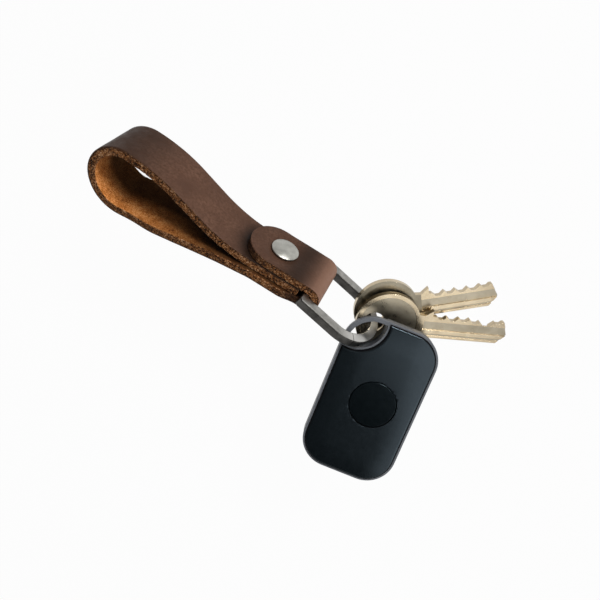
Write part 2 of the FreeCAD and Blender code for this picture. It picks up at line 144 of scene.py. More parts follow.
# Dyed skin that shows on the raw edges beside the grain, and paler stretched grain on the fold, partly a painted
# sheen
SKIN_DEPTH = 0.95 * MM
SKIN_FADE = 0.55 * MM
FOLD_TINT = 4.8 * MM

# Loose fibres on the raw edges; they stand where stain and painted shade darken them less than the limit below
STRAND_COUNT = 5000
STRAND_RADIUS = 0.04 * MM
STRAND_LENGTHS = (0.15 * MM, 0.5 * MM)
STRAND_LEAN = 0.7
STRAND_DARKNESS_LIMIT = 0.35

# The loop's lower run is twisted, most a little past the tip bend, and lies to one side of the upper run
LOOP_TWIST = 9.0
TWIST_PEAK = 23.0 * MM
TWIST_RISE = 36.0 * MM
TWIST_FADE = 38.0 * MM
SWAY = 1.3 * MM
SWAY_START = 21.0 * MM
SWAY_RISE = 12.0 * MM
SWAY_END = 2.0 * MM
SWAY_FALL = 7.0 * MM

# Rounding of the rigid pieces: widths, then angles between faces in degrees
RIVET_ROUND = 0.12 * MM
RING_ROUND = 0.05 * MM
KEY_ROUND = 0.2 * MM
FRAME_ROUND = 0.18 * MM
SHELL_ROUND = 0.06 * MM
ROUND_STEPS = 3
ROUND_PROFILE = 0.5
LEVEL_ANGLE = 0.5
ROUND_ANGLE = 32.0
SHADE_ANGLE = 50.0
# Points of a rigid piece that are closer than this become one
WELD = 0.0005 * MM

# Crown of the tag's front cover
CROWN_DROP = 0.5 * MM
CROWN_REACH = 9.0 * MM
CROWN_DEPTH = 1.0 * MM
CROWN_GRID = 1.2 * MM
COVER_CORNER = 9.7 * MM

# Cosines from which a face counts as turned to a direction, or as lying flat across it
TURNED = 0.9
FLAT = 0.99
# Depth from which a key's face counts as sunk, and size of its head round the hole
KEY_SUNK = 0.2 * MM
KEY_HEAD_REACH = 17.0 * MM

# The ring's steel is painted bright round the point where the tag hangs: a painted highlight
HIGHLIGHT_FADE = (6.0 * MM, 15.0 * MM)
HIGHLIGHT_STEEL = (0.78, 0.77, 0.74)

# Range in which most of a noise texture's values lie
NOISE_RANGE = (0.3, 0.7)

# Camera of the photograph: straight down, image as wide as the distance
CAMERA_FROM_BAR = Vector((-1.11, -7.81, 205.0)) * MM
CAMERA_TURN = 32.0
SENSOR = 36.0
CLIP_START = 5.0 * MM

# Studio: the floor lies below what hangs down at the joints' limits
FLOOR_HALF = 0.9
FLOOR_DROP = 50.0 * MM
FLOOR_GLOW = 0.97
FLOOR_PAPER = (0.34, 0.34, 0.34)
WHITE = (1.0, 1.0, 1.0)
WORLD_BRIGHT_SIDE = (0.0, 0.85, 0.53)
WORLD_DARK = 0.06
WORLD_LIGHT = 0.5
WORLD_TURN = -0.1
HORIZON_WHITE = 0.98
HORIZON_FADE = (0.2, 0.42)
# Lamps: right, up and above the part's middle as the photograph sees it, then size and watts
LAMPS = {
    "key_light": ((0.26, 0.21, 0.46), 0.14, 2.3),
    "side_panel": ((0.31, -0.27, 0.56), 0.46, 1.2),
    "low_card": ((0.17, -0.39, 0.28), 0.22, 0.2),
}


def placed(name, data):
    """New object of that name in the scene."""
    item = bpy.data.objects.new(name, data)
    bpy.context.scene.collection.objects.link(item)
    return item


# Nodes of the materials
def feed(tree, slot, value):
    """Gives an input a value of its own or what another node gives."""
    if isinstance(value, bpy.types.NodeSocket):
        tree.links.new(value, slot)
    elif slot.type == "RGBA":
        slot.default_value = (*value, 1)
    else:
        slot.default_value = value


def math_node(tree, operation, first, second):
    """Result of a calculation with two sockets or numbers in a node tree."""
    node = tree.nodes.new("ShaderNodeMath")
    node.operation = operation
    feed(tree, node.inputs[0], first)
    feed(tree, node.inputs[1], second)
    return node.outputs["Value"]


def graded(tree, value, low, high, new_low, new_high):
    """Value stretched from one range to another and kept inside it."""
    node = tree.nodes.new("ShaderNodeMapRange")
    ends = {"From Min": low, "From Max": high, "To Min": new_low, "To Max": new_high}
    for key, number in {"Value": value, **ends}.items():
        feed(tree, node.inputs[key], number)
    return node.outputs["Result"]


class Shader:
    """A material with its principled shader and short ways to add nodes to it."""

    def __init__(self, name, **values):
        self.material = bpy.data.materials.new(name)
        self.material.use_nodes = True
        self.tree = self.material.node_tree
        self.surface = self.tree.nodes["Principled BSDF"]
        for key, value in values.items():
            self.drive(key.replace("_", " "), value)

    def add(self, kind, inputs=None, **settings):
        node = self.tree.nodes.new(kind)
        for key, value in settings.items():
            setattr(node, key, value)
        for key, value in (inputs or {}).items():
            feed(self.tree, node.inputs[key], value)
        return node

    def drive(self, key, value):
        feed(self.tree, self.surface.inputs[key], value)

    def place(self):
        """Coordinates of the piece in metres."""
        return self.add("ShaderNodeTexCoord").outputs["Object"]

    def mark(self, name):
        """Value that the mesh carries at its points under a name."""
        return self.add("ShaderNodeAttribute", attribute_name=name).outputs["Fac"]

    def noise(self, size, detail=3.0, roughness=0.55):
        """Cloudy value with patches of about that size in metres."""
        inputs = {"Vector": self.place(), "Scale": 1 / size, "Detail": detail, "Roughness": roughness}
        return self.add("ShaderNodeTexNoise", inputs).outputs["Fac"]

    def cells(self, size):
        """Distance from the middle of soft cells of about that size in metres."""
        inputs = {"Vector": self.place(), "Scale": 1 / size}
        return self.add("ShaderNodeTexVoronoi", inputs, feature="SMOOTH_F1").outputs["Distance"]

    def span(self, value, low, high, new_low=0.0, new_high=1.0):
        return graded(self.tree, value, low, high, new_low, new_high)

    def ramp(self, value, *stops):
        """Colour from a list of (value, colour)."""
        node = self.add("ShaderNodeValToRGB", {"Fac": value})
        elements = node.color_ramp.elements
        while len(elements) < len(stops):
            elements.new(0.5)
        for element, (position, colour) in zip(elements, stops):
            element.position = position
            element.color = (*colour, 1)
        return node.outputs["Color"]

    def mix(self, factor, first, second):
        """Colour between two colours."""
        node = self.add("ShaderNodeMix", data_type="RGBA")
        slots = {slot.name: slot for slot in node.inputs if slot.enabled}
        for key, value in (("Factor", factor), ("A", first), ("B", second)):
            feed(self.tree, slots[key], value)
        return [slot for slot in node.outputs if slot.enabled][0]

    def weighted(self, first, second, share):
        """Sum of two values, with that share of the second."""
        main = math_node(self.tree, "MULTIPLY", first, 1 - share)
        return math_node(self.tree, "ADD", main, math_node(self.tree, "MULTIPLY", second, share))

    def bump(self, height, depth, strength=1.0, under=None):
        """Relief of that depth in metres, over another relief."""
        inputs = {"Height": height, "Distance": depth, "Strength": strength}
        if under:
            inputs["Normal"] = under
        return self.add("ShaderNodeBump", inputs).outputs["Normal"]


# Materials
def grain_leather():
    """Smooth dark side of oil-finished leather: cloudy brown, fine pores, darker in places, partly as painted
    shade, and paler where it is bent, partly as a painted sheen.
    """
    shader = Shader("grain_leather", Specular_IOR_Level=0.1)
    clouds = shader.span(shader.noise(9 * MM, detail=4.0, roughness=0.62), *NOISE_RANGE)
    colour = shader.mix(clouds, (0.080, 0.039, 0.025), (0.132, 0.067, 0.043))
    flecks = shader.span(shader.noise(0.9 * MM, detail=2.0), 0.32, 0.62)
    colour = shader.mix(flecks, (0.078, 0.038, 0.023), colour)
    # Darker in places from the strap's marks, partly painted shade
    colour = shader.mix(shader.mark("stain_and_shade"), colour, (0.014, 0.007, 0.004))
    # Paler on the fold: stretched grain, partly a painted sheen
    colour = shader.mix(shader.mark("stretch_and_sheen"), colour, (0.275, 0.155, 0.108))
    shader.drive("Base Color", colour)
    shader.drive("Roughness", shader.span(shader.noise(2.5 * MM, detail=4.0), *NOISE_RANGE, 0.42, 0.60))
    creases = shader.noise(1.6 * MM, detail=5.0, roughness=0.6)
    pores = shader.bump(shader.cells(0.55 * MM), 0.05 * MM, 0.55)
    shader.drive("Normal", shader.bump(creases, 0.09 * MM, 0.5, pores))
    return shader.material


def flesh_leather():
    """Napped orange-brown side, with painted shade where it is shut in and under the upper run."""
    shader = Shader("flesh_leather", Roughness=0.95, Specular_IOR_Level=0.08)
    patches = shader.noise(3.2 * MM, detail=4.0, roughness=0.7)
    fibres = shader.noise(0.42 * MM, detail=3.0, roughness=0.7)
    colour = shader.ramp(
        shader.weighted(patches, fibres, 0.6),
        (0.35, (0.16, 0.045, 0.009)),
        (0.48, (0.62, 0.215, 0.050)),
        (0.62, (0.95, 0.45, 0.16)),
    )
    # Painted shade: darker where little open air reaches, by ambient occlusion
    open_air = shader.add("ShaderNodeAmbientOcclusion", {"Distance": 30 * MM}, samples=6).outputs["AO"]
    dark = (0.008, 0.003, 0.001)
    colour = shader.mix(shader.span(open_air, 0.43, 0.55), dark, colour)
    # Painted shade from the strap's marks
    shader.drive("Base Color", shader.mix(shader.mark("stain_and_shade"), colour, dark))
    shader.drive("Normal", shader.bump(fibres, 0.22 * MM, 0.9))
    return shader.material


def edge_leather():
    """Raw cut edge: speckled fibre bundles beside the dark dyed skin, stained dark at the flap's tip and with
    painted shade under the fold.
    """
    shader = Shader("edge_leather", Roughness=0.92, Specular_IOR_Level=0.15)
    speckle = shader.noise(0.62 * MM, detail=3.0, roughness=0.75)
    patches = shader.noise(2.4 * MM, detail=3.0)
    colour = shader.ramp(
        shader.weighted(speckle, patches, 0.28),
        (0.41, (0.009, 0.004, 0.002)),
        (0.48, (0.105, 0.040, 0.014)),
        (0.56, (0.37, 0.145, 0.045)),
        (0.65, (0.76, 0.50, 0.30)),
    )
    # Stain at the flap's tip, painted shade under the fold
    colour = shader.mix(shader.mark("stain_and_shade"), colour, (0.030, 0.014, 0.008))
    shader.drive("Base Color", shader.mix(shader.mark("skin"), colour, (0.036, 0.018, 0.011)))
    shader.drive("Normal", shader.bump(speckle, 0.25 * MM, 0.9))
    return shader.material


def strand_leather():
    """Loose fibres of the raw edges, from brown to cream."""
    shader = Shader("strand_leather", Roughness=0.9, Specular_IOR_Level=0.1)
    tone = shader.noise(0.35 * MM, detail=1.0)
    shader.drive("Base Color", shader.ramp(tone, (0.40, (0.10, 0.040, 0.014)), (0.64, (0.66, 0.43, 0.25))))
    return shader.material


def metal(name, dark, light, polish, patch=3 * MM, dent=0.01 * MM, highlight_point=None):
    """Worn plated metal: patches of tone, a range of polish, small dents, and a painted highlight round a given
    point.
    """
    shader = Shader(name, Metallic=1.0)
    patches = shader.span(shader.noise(patch, detail=4.0, roughness=0.6), 0.34, 0.66)
    colour = shader.mix(patches, dark, light)
    if highlight_point:
        # Painted highlight: lighter steel near the given point
        away = shader.add("ShaderNodeVectorMath", {0: shader.place(), 1: highlight_point}, operation="DISTANCE")
        colour = shader.mix(shader.span(away.outputs["Value"], *HIGHLIGHT_FADE, 1.0, 0.0), colour, HIGHLIGHT_STEEL)
    shader.drive("Base Color", colour)
    shader.drive("Roughness", shader.span(shader.noise(2.5 * MM, detail=1.0), *NOISE_RANGE, *polish))
    shader.drive("Normal", shader.bump(shader.noise(4.0 * MM, detail=1.0), dent, 0.35))
    return shader.material


def plastic(name, dark, light, polish, depth=0.004 * MM, **values):
    """Moulded plastic with a fine spark texture and slight handling marks."""
    shader = Shader(name, **values)
    patches = shader.span(shader.noise(6 * MM, detail=3.0), *NOISE_RANGE)
    shader.drive("Base Color", shader.mix(patches, dark, light))
    shader.drive("Roughness", shader.span(shader.noise(1.8 * MM, detail=5.0), *NOISE_RANGE, *polish))
    shader.drive("Normal", shader.bump(shader.noise(0.18 * MM, detail=2.0), depth, 0.7))
    return shader.material


# Strap: stations along the middle line, a rounded section at each of them
def strap_steps():
    """Straight (length,) and curved (radius, turn) steps from the tucked end to the tip of the flap."""
    neck = math.radians(NECK_ANGLE)
    rise = 2 * NECK_RADIUS * (1 - math.cos(neck)) + NECK_STRAIGHT * math.sin(neck)
    run = 2 * NECK_RADIUS * math.sin(neck) + NECK_STRAIGHT * math.cos(neck)
    span_x = NECK_START + run - UNDER_FLAP
    span_z = TIP_RADIUS - rise - FOLD_MIDDLE - RETURN_RADIUS
    reach = TIP_RADIUS + RETURN_RADIUS
    straight = math.sqrt(span_x ** 2 + span_z ** 2 - reach ** 2)
    angle = math.degrees(math.atan2(span_z, span_x) + math.atan2(reach, straight))
    return [
        (NECK_START - TUCKED_END,),
        (NECK_RADIUS, -NECK_ANGLE),
        (NECK_STRAIGHT,),
        (NECK_RADIUS, NECK_ANGLE),
        (TIP_RADIUS, 180 + angle),
        (straight,),
        (RETURN_RADIUS, -angle),
        (UNDER_FLAP,),
        (FOLD_MIDDLE, 180),
        (FLAP_LENGTH,),
    ]


def step_length(step):
    return step[0] if len(step) == 1 else step[0] * abs(math.radians(step[1]))


strap_length = sum(map(step_length, strap_steps()))
# Distances from the flap's tip to the far end of the loop, and to the middle and the end of the fold
loop_tip_place = sum(map(step_length, strap_steps()[TIP_STEP:])) - TIP_RADIUS * math.pi / 2
fold_place = FLAP_LENGTH + FOLD_MIDDLE * math.pi / 2
fold_end = FLAP_LENGTH + FOLD_MIDDLE * math.pi


def smooth(share):
    """Soft step from 0 to 1."""
    share = max(0.0, min(1.0, share))
    return share * share * (3 - 2 * share)


def bell(distance, spread):
    """1 at no distance, falling off to 0 on both sides."""
    return math.exp(-(distance / spread) ** 2)


def loop_twist(left):
    """Turn of the band about its own line at a distance from the flap's tip."""
    past = loop_tip_place - left - TWIST_PEAK
    reach = TWIST_RISE if past < 0 else TWIST_FADE
    return math.radians(LOOP_TWIST) * (1 - smooth(abs(past) / reach))


def lower_sway(left):
    """Sideways shift of the band at a distance from the flap's tip."""
    past_tip = loop_tip_place - left
    before_fold = left - fold_end
    return SWAY * smooth((past_tip - SWAY_START) / SWAY_RISE) * smooth((before_fold - SWAY_END) / SWAY_FALL)


def half_width(left):
    """Half of the band's width at a distance from the flap's round tip."""
    half = STRAP_WIDTH / 2
    if left >= half:
        return half
    return max(TIP_HALF_WIDTH, math.sqrt(max(0.0, half ** 2 - (half - left) ** 2)))


def strap_stations():
    """List of (x, z, heading, curvature, distance to the flap's tip) along the middle line."""
    stations = []
    x, z, heading, left = -TUCKED_END, 0.0, math.pi, strap_length
    for step in strap_steps():
        curvature = 0.0 if len(step) == 1 else math.copysign(1 / step[0], step[1])
        count = max(2, round(step_length(step) / STATION))
        stride = step_length(step) / count
        half = curvature * stride / 2
        chord = stride * (math.sin(half) / half if half else 1.0)
        for _ in range(count):
            stations.append((x, z, heading, curvature, left))
            x += chord * math.cos(heading + half)
            z += chord * math.sin(heading + half)
            heading += 2 * half
            left -= stride
    stations.append((x, z, heading, 0.0, 0.0))
    return stations


def section_corner(middle, radius, start, zone):
    """Points of a rounded corner, from a starting angle on, without its two ends."""
    points = []
    for row in range(1, CORNER_ROWS):
        angle = math.radians(start + 90 * row / CORNER_ROWS)
        out = (math.cos(angle), math.sin(angle))
        points.append((middle[0] + radius * out[0], middle[1] + radius * out[1], *out, zone))
    return points


def strap_section(wide):
    """Points of the cut as (across, through, outward across, outward through, zone), grain side first."""
    half = LEATHER / 2
    grain = min(GRAIN_CORNER, wide * CORNER_SHARE)
    flesh = min(FLESH_CORNER, wide * CORNER_SHARE)
    shares = [2 * column / FACE_COLUMNS - 1 for column in range(FACE_COLUMNS + 1)]
    levels = [grain - half + (LEATHER - grain - flesh) * row / EDGE_ROWS for row in range(EDGE_ROWS + 1)]
    points = [(share * (wide - grain), -half, 0, -1, "grain") for share in shares]
    points += section_corner((wide - grain, grain - half), grain, -90, "grain")
    points += [(wide, level, 1, 0, "edge") for level in levels]
    points += section_corner((wide - flesh, half - flesh), flesh, 0, "edge")
    points += [(share * (wide - flesh), half, 0, 1, "flesh") for share in reversed(shares)]
    points += section_corner((flesh - wide, half - flesh), flesh, 90, "edge")
    points += [(-wide, level, -1, 0, "edge") for level in reversed(levels)]
    points += section_corner((grain - wide, grain - half), grain, 180, "grain")
    return points


def rivet_dent(point):
    """Depth to which the rivet has drawn the leather down beside its caps."""
    away = math.hypot(point.x + RIVET_SETBACK, point.y) - RIVET_RADIUS
    outside = abs(point.z) > FLAP_TOP - OUTER_SKIN
    if not outside or away > RIVET_DENT_REACH:
        return 0.0
    return RIVET_DENT * math.exp(-max(away, 0.0) ** 2 / (2 * RIVET_DENT_SPREAD ** 2))


def strap_relief(point, zone, bend):
    """How far the leather stands out of its plain form at a point."""
    if zone == "grain":
        return GRAIN_WAVE * noise.noise(point / WAVE_SIZE) - rivet_dent(point)
    nap = noise.fractal(point / NAP_SIZE, *NAP_FRACTAL)
    if zone == "edge":
        layers = noise.noise(Vector(place / size for place, size in zip(point, LAYER_SIZES)))
        return EDGE_ROUGHNESS * (EDGE_NAP * nap + EDGE_LAYERS * layers) - EDGE_SINK
    if bend > 1 / (FOLD_MIDDLE * TIGHT_BEND):
        return -FLESH_ROUGHNESS * abs(nap)
    return FLESH_ROUGHNESS * nap


def edge_stain_and_shade(left):
    """Raw edges are stained dark at the flap's tip, and have painted shade under the fold."""
    tip_stain = 1 - smooth(left / TIP_REACH)
    return EDGE_DARKNESS * max(tip_stain, bell(left - fold_end - UNDER_SHIFT, UNDER_REACH))


def grain_shade_and_darkening(x, y, left):
    """The grain side is darker beside the rivet and over the flap, has painted shade at the loop's far end, and a
    painted shadow round the flap's tip.
    """
    if left < FLAP_LENGTH:
        by_rivet = RIVET_SIDE_DARKENING * bell(FLAP_LENGTH - RIVET_SIDE_PLACE - left, RIVET_SIDE_SPREAD)
        return max(by_rivet, FLAP_DARKENING * smooth((FLAP_LENGTH - left) / RIVET_SIDE_SPREAD))
    # Painted shade at the loop's far end
    from_tip = abs(left - loop_tip_place)
    loop_end_shade = LOOP_END_SHADE * (1 - smooth((from_tip - LOOP_END_SHADE_REACH) / LOOP_END_SHADE_FADE))
    round_middle = STRAP_WIDTH / 2 - FLAP_LENGTH
    beside = math.hypot(min(0.0, x - round_middle), y) - STRAP_WIDTH / 2
    if left < loop_tip_place or beside < -FLAP_TIP_SHADOW_REACH:
        return loop_end_shade
    # Painted shadow of the flap's tip round its outline
    return max(loop_end_shade, FLAP_TIP_SHADOW * bell(beside, FLAP_TIP_SHADOW_REACH))


def flesh_painted_shade(y, left):
    """Painted shade on the flesh side: it keeps its colour in a band along one edge, where light reaches in, and
    is dark across the rest and where the two runs meet.
    """
    aside = smooth((y + STRAP_WIDTH / 2 - FLESH_LIT_WIDTH) / FLESH_FADE)
    deep = smooth((loop_tip_place - left - DEEP_START) / DEEP_REACH)
    return max(FLESH_SHADE * aside, DEEP_SHADE * deep)


def strap_stain_and_shade(point, zone, left):
    """How dark the leather is at a point, from 0 to 1, by stains and painted shade."""
    if zone == "edge":
        return edge_stain_and_shade(left)
    if zone == "flesh":
        return flesh_painted_shade(point.y, left)
    return grain_shade_and_darkening(point.x, point.y, left)


def skin_dye(depth, zone):
    """Raw edges are dyed as deep as the skin, from the grain side."""
    if zone != "edge":
        return 0.0
    return max(0.0, min(1.0, (SKIN_DEPTH - LEATHER / 2 - depth) / SKIN_FADE))


def strap_pose():
    """Pose of the strap's own axes in the frame, from the hinge of the ring in its fold."""
    hinge = joints["ring_swing"]
    axis = Vector(hinge["axis"])
    return Matrix.Translation(hinge["pos_m"]) @ Matrix.Rotation(math.atan2(axis.z, axis.y), 4, "X")


def turned(across, through, angle):
    """Place or direction in the band's cut after a turn about the band's own line."""
    cosine, sine = math.cos(angle), math.sin(angle)
    return across * cosine - through * sine, across * sine + through * cosine


def strap_points(stations):
    """Points of the strap, and the marks that its materials read at each of them."""
    pose = strap_pose()
    points = []
    marks = {"stretch_and_sheen": [], "skin": [], "stain_and_shade": []}
    for x, z, heading, bend, left in stations:
        through = Vector((-math.sin(heading), 0, math.cos(heading)))
        twist, sway = loop_twist(left), lower_sway(left)
        for across, depth, out_across, out_through, zone in strap_section(half_width(left)):
            side, level = turned(across, depth, twist)
            out_side, out_level = turned(out_across, out_through, twist)
            point = Vector((x, side - sway, z)) + through * level
            out = Vector((0, out_side, 0)) + through * out_level
            points.append(pose @ (point + out * strap_relief(point, zone, bend)))
            marks["stretch_and_sheen"].append(bell(left - fold_place, FOLD_TINT))
            marks["skin"].append(skin_dye(depth, zone))
            marks["stain_and_shade"].append(strap_stain_and_shade(point, zone, left))
    return points, marks


def strap_faces(station_count):
    """Faces between the stations and at both ends, and the place of each one's material."""
    zones = [point[-1] for point in strap_section(STRAP_WIDTH / 2)]
    ring = len(zones)
    faces, slots = [], []
    for row in range(station_count - 1):
        near, far = row * ring, (row + 1) * ring
        for column in range(ring):
            after = (column + 1) % ring
            faces.append((near + column, near + after, far + after, far + column))
            zone = "edge" if zones[after] == "edge" else zones[column]
            slots.append(STRAP_SLOTS[zone])
    for row, turn in ((0, -1), (station_count - 1, 1)):
        faces.append(tuple(row * ring + column for column in range(ring))[::turn])
        slots.append(STRAP_SLOTS["edge"])
    return faces, slots


def leather_strap():
    """The strap as one closed mesh with its grain, its flesh and its raw edges."""
    stations = strap_stations()
    points, marks = strap_points(stations)
    faces, slots = strap_faces(len(stations))
    mesh = bpy.data.meshes.new("leather_band")
    mesh.from_pydata(points, [], faces)
    mesh.polygons.foreach_set("material_index", slots)
    mesh.polygons.foreach_set("use_smooth", [True] * len(faces))
    for name, values in marks.items():
        mesh.attributes.new(name, "FLOAT", "POINT").data.foreach_set("value", values)
    for material in (grain_leather(), flesh_leather(), edge_leather()):
        mesh.materials.append(material)
    band = placed("leather_band", mesh)
    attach(band, "strap")
    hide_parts("leather_strap")
    return band


def raw_faces(mesh):
    """Faces along the strap's raw edges that aren't darkened much by stain and painted shade."""
    stain_and_shade = mesh.attributes["stain_and_shade"].data
    along = [face for face in mesh.polygons if len(face.vertices) == 4]
    edges = [face for face in along if face.material_index == STRAP_SLOTS["edge"]]
    return [face for face in edges if stain_and_shade[face.vertices[0]].value < STRAND_DARKNESS_LIMIT]


def strand_points(corners, normal):
    """Three points round the root of a fibre somewhere on a face, and its tip."""
    share = random.random()
    near, far = corners[0].lerp(corners[1], share), corners[3].lerp(corners[2], share)
    root = near.lerp(far, random.random())
    lean = Vector([random.gauss(0, STRAND_LEAN) for _ in range(3)])
    rise = (normal + lean).normalized()
    side = rise.orthogonal().normalized() * STRAND_RADIUS
    third = math.radians(120)
    base = [root + Matrix.Rotation(corner * third, 3, rise) @ side for corner in range(3)]
    return [*base, root + rise * random.uniform(*STRAND_LENGTHS)]


def edge_strands(band):
    """Short loose fibres that stand on the raw edges of the strap."""
    raw = raw_faces(band.data)
    points, faces = [], []
    for _ in range(STRAND_COUNT):
        face = random.choice(raw)
        first = len(points)
        points += strand_points([band.data.vertices[index].co for index in face.vertices], face.normal)
        faces += [(first + corner, first + (corner + 1) % 3, first + 3) for corner in range(3)]
        faces.append((first + 2, first + 1, first))
    mesh = bpy.data.meshes.new("edge_strands")
    mesh.from_pydata(points, [], faces)
    mesh.materials.append(strand_leather())
    strands = placed("edge_strands", mesh)
    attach(strands, "strap")


# Rigid pieces
def rounded_mesh(node, width):
    """Mesh of a rigid node with its sharp edges rounded to that width."""
    form = bmesh.new()
    form.from_mesh(nodes[node].data)
    bmesh.ops.remove_doubles(form, verts=form.verts, dist=WELD)
    level = math.radians(LEVEL_ANGLE)
    bmesh.ops.dissolve_limit(form, angle_limit=level, verts=form.verts, edges=form.edges)
    closed = [edge for edge in form.edges if edge.is_manifold]
    sharp = [edge for edge in closed if edge.calc_face_angle() > math.radians(ROUND_ANGLE)]
    bmesh.ops.bevel(form, geom=sharp, offset=width, offset_type="OFFSET", segments=ROUND_STEPS,
                    profile=ROUND_PROFILE, affect="EDGES", clamp_overlap=True, miter_outer="ARC")
    bmesh.ops.remove_doubles(form, verts=form.verts, dist=WELD)
    bmesh.ops.dissolve_degenerate(form, dist=WELD, edges=form.edges)
    mesh = bpy.data.meshes.new(node + "_form")
    form.to_mesh(mesh)
    form.free()
    if "custom_normal" in mesh.attributes:
        mesh.attributes.remove(mesh.attributes["custom_normal"])
    mesh.polygons.foreach_set("use_smooth", [True] * len(mesh.polygons))
    mesh.set_sharp_from_angle(angle=math.radians(SHADE_ANGLE))
    return mesh


def only_material(mesh, material):
    mesh.materials.clear()
    mesh.materials.append(material)


def softened(node, body, width, material):
    """Copy of a rigid node with its sharp edges rounded, standing for the node."""
    mesh = rounded_mesh(node, width)
    only_material(mesh, material)
    piece = placed(node + "_form", mesh)
    even = piece.modifiers.new("even_normals", "WEIGHTED_NORMAL")
    even.keep_sharp = True
    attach(piece, body)
    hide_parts(node)
    return piece


def other_material(piece, material, chosen):
    """Gives the chosen faces of a piece another material."""
    piece.data.materials.append(material)
    for face in piece.data.polygons:
        if chosen(face):
            face.material_index = len(piece.data.materials) - 1


def lit_and_shaded_ring(piece, material):
    """Both flat sides of the ring get the lighter copy of its steel, and its flanks keep the darker copy: painted
    light and shade.
    """
    normal = max(piece.data.polygons, key=lambda face: face.area).normal.copy()
    other_material(piece, material, lambda face: abs(face.normal.dot(normal)) > TURNED)


def dull_sunk(piece, joint, material):
    """The dish of a key's head and the grooves of its blade are duller than the rest."""
    normal = Vector(joints[joint]["axis"])
    levels = [vertex.co.dot(normal) for vertex in piece.data.vertices]
    middle = (max(levels) + min(levels)) / 2
    raised = (max(levels) - min(levels)) / 2 - KEY_SUNK

    def sunk(face):
        return abs(face.normal.dot(normal)) > FLAT and abs(face.center.dot(normal) - middle) < raised

    other_material(piece, material, sunk)


def shaded_key_head(piece, joint, material):
    """The flat faces of a key's head are painted dark as shade."""
    normal = Vector(joints[joint]["axis"])
    hole = Vector(joints[joint]["pos_m"])

    def on_head(face):
        return abs(face.normal.dot(normal)) > FLAT and (face.center - hole).length < KEY_HEAD_REACH

    other_material(piece, material, on_head)


def cut_grid(form, directions, low, high):
    """Cuts a mesh into a grid along two directions, so that it can bend."""
    for axis, direction in enumerate(directions):
        length = high[axis] - low[axis]
        count = round(length / CROWN_GRID)
        for number in range(1, count):
            place = low[axis] + length * number / count
            every = form.verts[:] + form.edges[:] + form.faces[:]
            bmesh.ops.bisect_plane(form, geom=every, plane_co=direction * place, plane_no=direction)


def crown_fall(spot, low, high):
    """How far the cover falls at a place in its own axes: most at its outline, nothing deep down."""
    middle, half = (low + high) / 2, (high - low) / 2
    beside = [half[axis] - COVER_CORNER - abs(spot[axis] - middle[axis]) for axis in range(2)]
    inside = COVER_CORNER + min(beside)
    if max(beside) < 0:
        inside = COVER_CORNER - math.hypot(*beside)
    share = max(0.0, (spot.z - high.z + CROWN_DEPTH) / CROWN_DEPTH)
    return CROWN_DROP * share * (1 - min(1.0, max(0.0, inside) / CROWN_REACH)) ** 2


def crowned_cover(piece):
    """The tag's front falls off softly towards its edge."""
    outward = -Vector(joints["button_press"]["axis"])
    along = Vector(joints["door_slide"]["axis"])
    across = along.cross(outward)
    axes = Matrix((across, along, outward))
    form = bmesh.new()
    form.from_mesh(piece.data)
    spots = [axes @ vertex.co for vertex in form.verts]
    low = Vector(min(spot[axis] for spot in spots) for axis in range(3))
    high = Vector(max(spot[axis] for spot in spots) for axis in range(3))
    cut_grid(form, (across, along), low, high)
    for vertex in form.verts:
        vertex.co -= outward * crown_fall(axes @ vertex.co, low, high)
    form.to_mesh(piece.data)
    form.free()


def dress_metal():
    """Rivet, ring and keys."""
    rivet = metal("rivet_nickel", (0.35, 0.345, 0.315), (0.47, 0.465, 0.425), (0.30, 0.44), dent=0.02 * MM)
    for node in ("rivet_cap", "rivet_post"):
        softened(node, "strap", RIVET_ROUND, rivet)

    # Painted light and shade: the ring's flanks take a darker copy of its steel, its flat sides a lighter one with
    # a painted highlight where the tag hangs
    hang = joints["tag_turn"]["pos_m"]
    flank = metal("ring_flank_painted_shade", (0.045, 0.043, 0.040), (0.090, 0.086, 0.080), (0.26, 0.40))
    face = metal("ring_steel", (0.23, 0.225, 0.21), (0.36, 0.35, 0.33), (0.28, 0.42), highlight_point=hang)
    lit_and_shaded_ring(softened("d_ring", "ring", RING_ROUND, flank), face)

    key = metal("key_nickel", (0.45, 0.37, 0.25), (0.58, 0.485, 0.34), (0.20, 0.28), patch=5 * MM)
    dull = metal("key_nickel_dull", (0.30, 0.26, 0.19), (0.42, 0.37, 0.28), (0.27, 0.36),
                 patch=5 * MM, dent=0.03 * MM)
    # Painted shade: a darker copy of the key's metal for the flat faces of the rear key's head
    head_shade = metal("key_head_painted_shade", (0.19, 0.165, 0.12), (0.28, 0.25, 0.19), (0.27, 0.36),
                 patch=5 * MM, dent=0.03 * MM)
    front = softened("key_front", "front_key", KEY_ROUND, key)
    rear = softened("key_rear", "rear_key", KEY_ROUND, key)
    dull_sunk(front, "front_key_swing", dull)
    dull_sunk(rear, "rear_key_swing", dull)
    shaded_key_head(rear, "rear_key_swing", head_shade)


